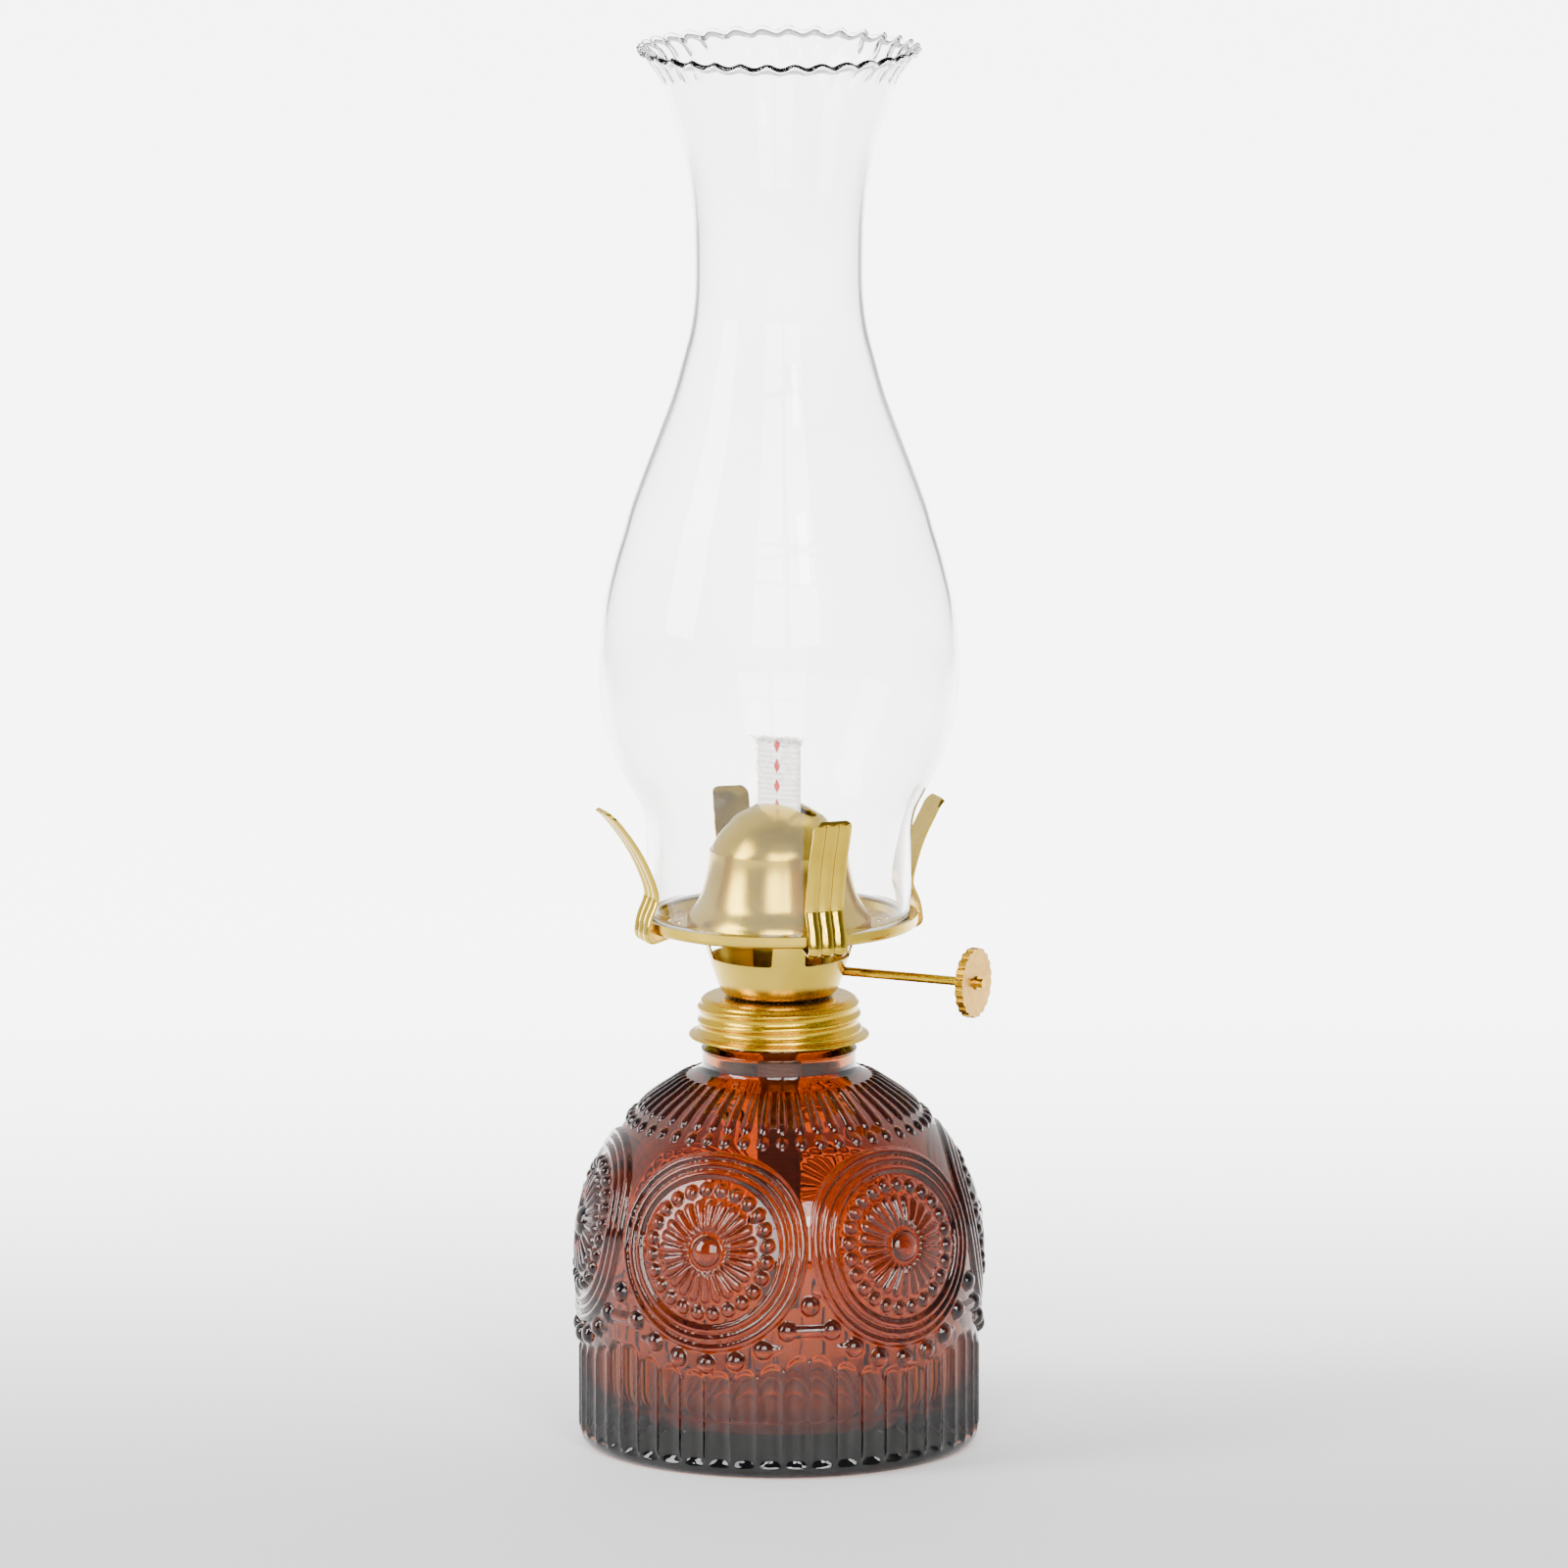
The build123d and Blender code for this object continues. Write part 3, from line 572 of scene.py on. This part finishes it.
def build_fray():
    """Loose cotton ends: thin bent threads round the top and down the sides of the wick."""
    rng = np.random.default_rng(7)
    verts, quads = [], []
    around = np.arange(THREAD_SIDES) * TAU / THREAD_SIDES
    for k in range(THREADS):
        on_top = k < THREADS_ON_TOP
        x = rng.uniform(-4.6, 4.6)
        y = rng.uniform(-1.0, 1.0) if on_top else -1.0
        z = rng.uniform(142.6, 142.9) if on_top else rng.uniform(132.0, 142.0)
        reach = rng.uniform(0.8, 2.2) if on_top else rng.uniform(0.3, 0.7)
        lean = rng.normal(0, 0.45, 2)
        curl = rng.normal(0, 0.6, 2)
        clear_x, clear_y = (7.5, 1.7) if on_top else (4.7, 1.2)
        for j in range(THREAD_RINGS):
            t = j / (THREAD_RINGS - 1)
            if on_top:
                px = x + reach * (lean[0] * t + curl[0] * t * t)
                py = y + reach * (lean[1] * t + curl[1] * t * t)
                pz = z + reach * t * (1 - 0.25 * t)
            else:
                px = x + reach * curl[0] * t
                py = y - 0.2 * math.sin(math.pi * t)
                pz = z + reach * (t - 0.5) + lean[0] * t
            px = min(max(px, -clear_x), clear_x)
            py = min(max(py, -clear_y), clear_y)
            thick = (0.17 if on_top else 0.12) * (1 - 0.45 * t)
            verts += [
                ((px + thick * math.cos(a)) * MM, (py + thick * math.sin(a)) * MM, pz * MM)
                for a in around
            ]
        base = k * THREAD_SIDES * THREAD_RINGS
        for j in range(THREAD_RINGS - 1):
            ring, above = base + j * THREAD_SIDES, base + (j + 1) * THREAD_SIDES
            for i in range(THREAD_SIDES):
                beside = (i + 1) % THREAD_SIDES
                quads.append((ring + i, ring + beside, above + beside, above + i))
    return mesh_object("wick_fray", verts, quads)


fray = build_fray()
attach(fray, "wick")
cotton = cotton_material()
wick.data.materials.append(cotton)
fray.data.materials.append(cotton)


# ---------------------------------------------------------------- CAD brass
def dress(name, mat):
    """Give a CAD node one material."""
    ob = nodes[name]
    ob.data.materials.clear()
    ob.data.materials.append(mat)
    for poly in ob.data.polygons:
        poly.material_index = 0


pale = brass("brass_pale_satin", (0.67, 0.47, 0.06), (0.51, 0.34, 0.025), 0.17, 0.10, (1, 1, 9))
bright = brass("brass_bright", (0.68, 0.47, 0.05), (0.50, 0.33, 0.02), 0.08, 0.07, (6, 6, 1))
golden = brass(
    "brass_golden", (0.68, 0.44, 0.012), (0.48, 0.29, 0.006), 0.18, 0.14, (1, 1, 7),
    bump_strength=0.12,
)
bronze = brass("brass_brown", (0.56, 0.30, 0.010), (0.34, 0.16, 0.005), 0.2, 0.15, (1, 1, 1))

rubber, nt, out = new_material("washer_rubber")
rubber_bsdf = nt.nodes.new("ShaderNodeBsdfPrincipled")
grain = nt.nodes.new("ShaderNodeTexNoise")
put(grain, Scale=800.0, Detail=4.0)
tone = nt.nodes.new("ShaderNodeValToRGB")
tone.color_ramp.elements[0].color = (0.02, 0.018, 0.016, 1)
tone.color_ramp.elements[1].color = (0.07, 0.06, 0.055, 1)
nt.links.new(grain.outputs["Fac"], tone.inputs["Fac"])
nt.links.new(tone.outputs["Color"], rubber_bsdf.inputs["Base Color"])
put(rubber_bsdf, Roughness=0.75)
nt.links.new(rubber_bsdf.outputs["BSDF"], out.inputs["Surface"])

satin = (
    "bell", "gallery", "burner_bowl", "wick_tube", "sprocket_housing", "sprocket_1", "sprocket_2",
)
for name in satin:
    dress(name, pale)
for name in ("prong_1", "prong_2", "prong_3", "prong_4"):
    dress(name, bright)
dress("spindle", golden)
collar.data.materials.append(golden)
dress("knob", bronze)
dress("neck_washer", rubber)

# ---------------------------------------------------------------- floor, light, camera
AZIMUTH, ELEVATION, DISTANCE = math.radians(25.4), math.radians(10.3), 4.0
mesh = bpy.data.meshes.new("floor")
FLOOR_HALF = 6
corners = [(x * FLOOR_HALF, y * FLOOR_HALF, 0) for x, y in ((-1, -1), (1, -1), (1, 1), (-1, 1))]
mesh.from_pydata(corners, [], [(0, 1, 2, 3)])
floor = bpy.data.objects.new("floor", mesh)
bpy.context.scene.collection.objects.link(floor)
floor_mat, nt, out = new_material("floor_white")
floor_bsdf = nt.nodes.new("ShaderNodeBsdfPrincipled")
put(floor_bsdf, Roughness=0.6)
floor_noise = nt.nodes.new("ShaderNodeTexNoise")
put(floor_noise, Scale=3.0)
floor_tone = nt.nodes.new("ShaderNodeValToRGB")
floor_tone.color_ramp.elements[0].color = (0.88, 0.88, 0.88, 1)
floor_tone.color_ramp.elements[1].color = (0.90, 0.90, 0.90, 1)
nt.links.new(floor_noise.outputs["Fac"], floor_tone.inputs["Fac"])
nt.links.new(floor_tone.outputs["Color"], floor_bsdf.inputs["Base Color"])
nt.links.new(floor_tone.outputs["Color"], floor_bsdf.inputs["Emission Color"])
# the sweep behind the lamp is lit like a light table: fades in behind it and out to the sides
floor_coord = nt.nodes.new("ShaderNodeTexCoord")


def falloff(direction, near, far):
    """0 to 1 along a direction from near to far, or 1 to 0 outwards both ways when near > far."""
    along = nt.nodes.new("ShaderNodeVectorMath")
    along.operation = "DOT_PRODUCT"
    along.inputs[1].default_value = direction
    nt.links.new(floor_coord.outputs["Object"], along.inputs[0])
    size = nt.nodes.new("ShaderNodeMath")
    size.operation = "ABSOLUTE" if near > far else "ADD"
    size.inputs[1].default_value = 0.0
    nt.links.new(along.outputs["Value"], size.inputs[0])
    fade = nt.nodes.new("ShaderNodeMapRange")
    fade.interpolation_type = "SMOOTHERSTEP"
    put(fade, From_Min=min(near, far), From_Max=max(near, far))
    put(fade, To_Min=float(near > far), To_Max=float(near < far))
    nt.links.new(size.outputs[0], fade.inputs["Value"])
    return fade.outputs["Result"]


behind = falloff((-math.sin(AZIMUTH), math.cos(AZIMUTH), 0), -0.15, 0.6)
beside = falloff((math.cos(AZIMUTH), math.sin(AZIMUTH), 0), 0.8, 0.3)
zone = nt.nodes.new("ShaderNodeMath")
zone.operation = "MULTIPLY"
nt.links.new(behind, zone.inputs[0])
nt.links.new(beside, zone.inputs[1])
glow = nt.nodes.new("ShaderNodeMath")
glow.operation = "MULTIPLY"
glow.inputs[1].default_value = 6.5
nt.links.new(zone.outputs[0], glow.inputs[0])
nt.links.new(glow.outputs[0], floor_bsdf.inputs["Emission Strength"])
nt.links.new(floor_bsdf.outputs["BSDF"], out.inputs["Surface"])
floor.data.materials.append(floor_mat)

world = bpy.data.worlds.new("studio")
bpy.context.scene.world = world
world.use_nodes = True
world_tree = world.node_tree
world_tree.nodes.clear()
world_out = world_tree.nodes.new("ShaderNodeOutputWorld")
world_light = world_tree.nodes.new("ShaderNodeBackground")
world_coord = world_tree.nodes.new("ShaderNodeTexCoord")
aim = world_tree.nodes.new("ShaderNodeVectorMath")
aim.operation = "DOT_PRODUCT"
aim.inputs[1].default_value = (math.sin(AZIMUTH), -math.cos(AZIMUTH), 0.25)
span = world_tree.nodes.new("ShaderNodeMapRange")
put(span, From_Min=-1.0, From_Max=1.0)
world_tone = world_tree.nodes.new("ShaderNodeValToRGB")
world_tree.links.new(world_coord.outputs["Generated"], aim.inputs[0])
world_tree.links.new(aim.outputs["Value"], span.inputs["Value"])
world_tree.links.new(span.outputs["Result"], world_tone.inputs["Fac"])
stops = [(0.0, 1.0), (0.42, 0.9), (0.54, 0.5), (0.7, 0.16), (1.0, 0.12)]
while len(world_tone.color_ramp.elements) < len(stops):
    world_tone.color_ramp.elements.new(0.5)
for spot, (position, level) in zip(world_tone.color_ramp.elements, stops):
    spot.position = position
    spot.color = (level, level, level, 1)
world_tree.links.new(world_tone.outputs["Color"], world_light.inputs["Color"])
world_light.inputs["Strength"].default_value = 1.5
world_tree.links.new(world_light.outputs["Background"], world_out.inputs["Surface"])


def area(name, place, target, size_x, size_y, power):
    """Rectangular light at place, aimed at target."""
    light = bpy.data.lights.new(name, "AREA")
    light.shape = "RECTANGLE"
    light.size, light.size_y = size_x, size_y
    light.energy = power
    ob = bpy.data.objects.new(name, light)
    bpy.context.scene.collection.objects.link(ob)
    ob.location = place
    facing = Vector(target) - Vector(place)
    ob.rotation_euler = facing.to_track_quat("-Z", "Y").to_euler()


back = Vector((
    math.sin(AZIMUTH) * math.cos(ELEVATION),
    -math.cos(AZIMUTH) * math.cos(ELEVATION),
    math.sin(ELEVATION),
))
right = Vector((math.cos(AZIMUTH), math.sin(AZIMUTH), 0))
# a paned window behind the camera, a bright small one, and a soft card on the left
for column in (-1, 1):
    for row in (0, 1):
        pane_at = back * 4.6 + right * (0.45 + column * 1.0) + Vector((0, 0, 0.4 + row * 1.7))
        area(f"pane_{column + 2}_{row + 1}", tuple(pane_at), (0, 0, 0.15), 1.7, 1.5, 100)
area("lamp", tuple(back * 2.2 + right * 0.75 + Vector((0, 0, 0.9))), (0, 0, 0.05), 0.3, 0.42, 13)
area("card", tuple(back * 0.6 - right * 1.5 + Vector((0, 0, 0.7))), (0, 0, 0.1), 0.7, 1.2, 42)

cam_data = bpy.data.cameras.new("camera")
cam = bpy.data.objects.new("camera", cam_data)
bpy.context.scene.collection.objects.link(cam)
look = Vector((0, 0, 0.1347)) + right * 0.001
cam.location = look + back * DISTANCE
cam.rotation_euler = back.to_track_quat("Z", "Y").to_euler()
cam_data.sensor_width = 36
cam_data.lens = 36 * DISTANCE / (IMAGE_WIDTH / PX_PER_MM * MM)
cam_data.clip_end = 50
bpy.context.scene.camera = cam
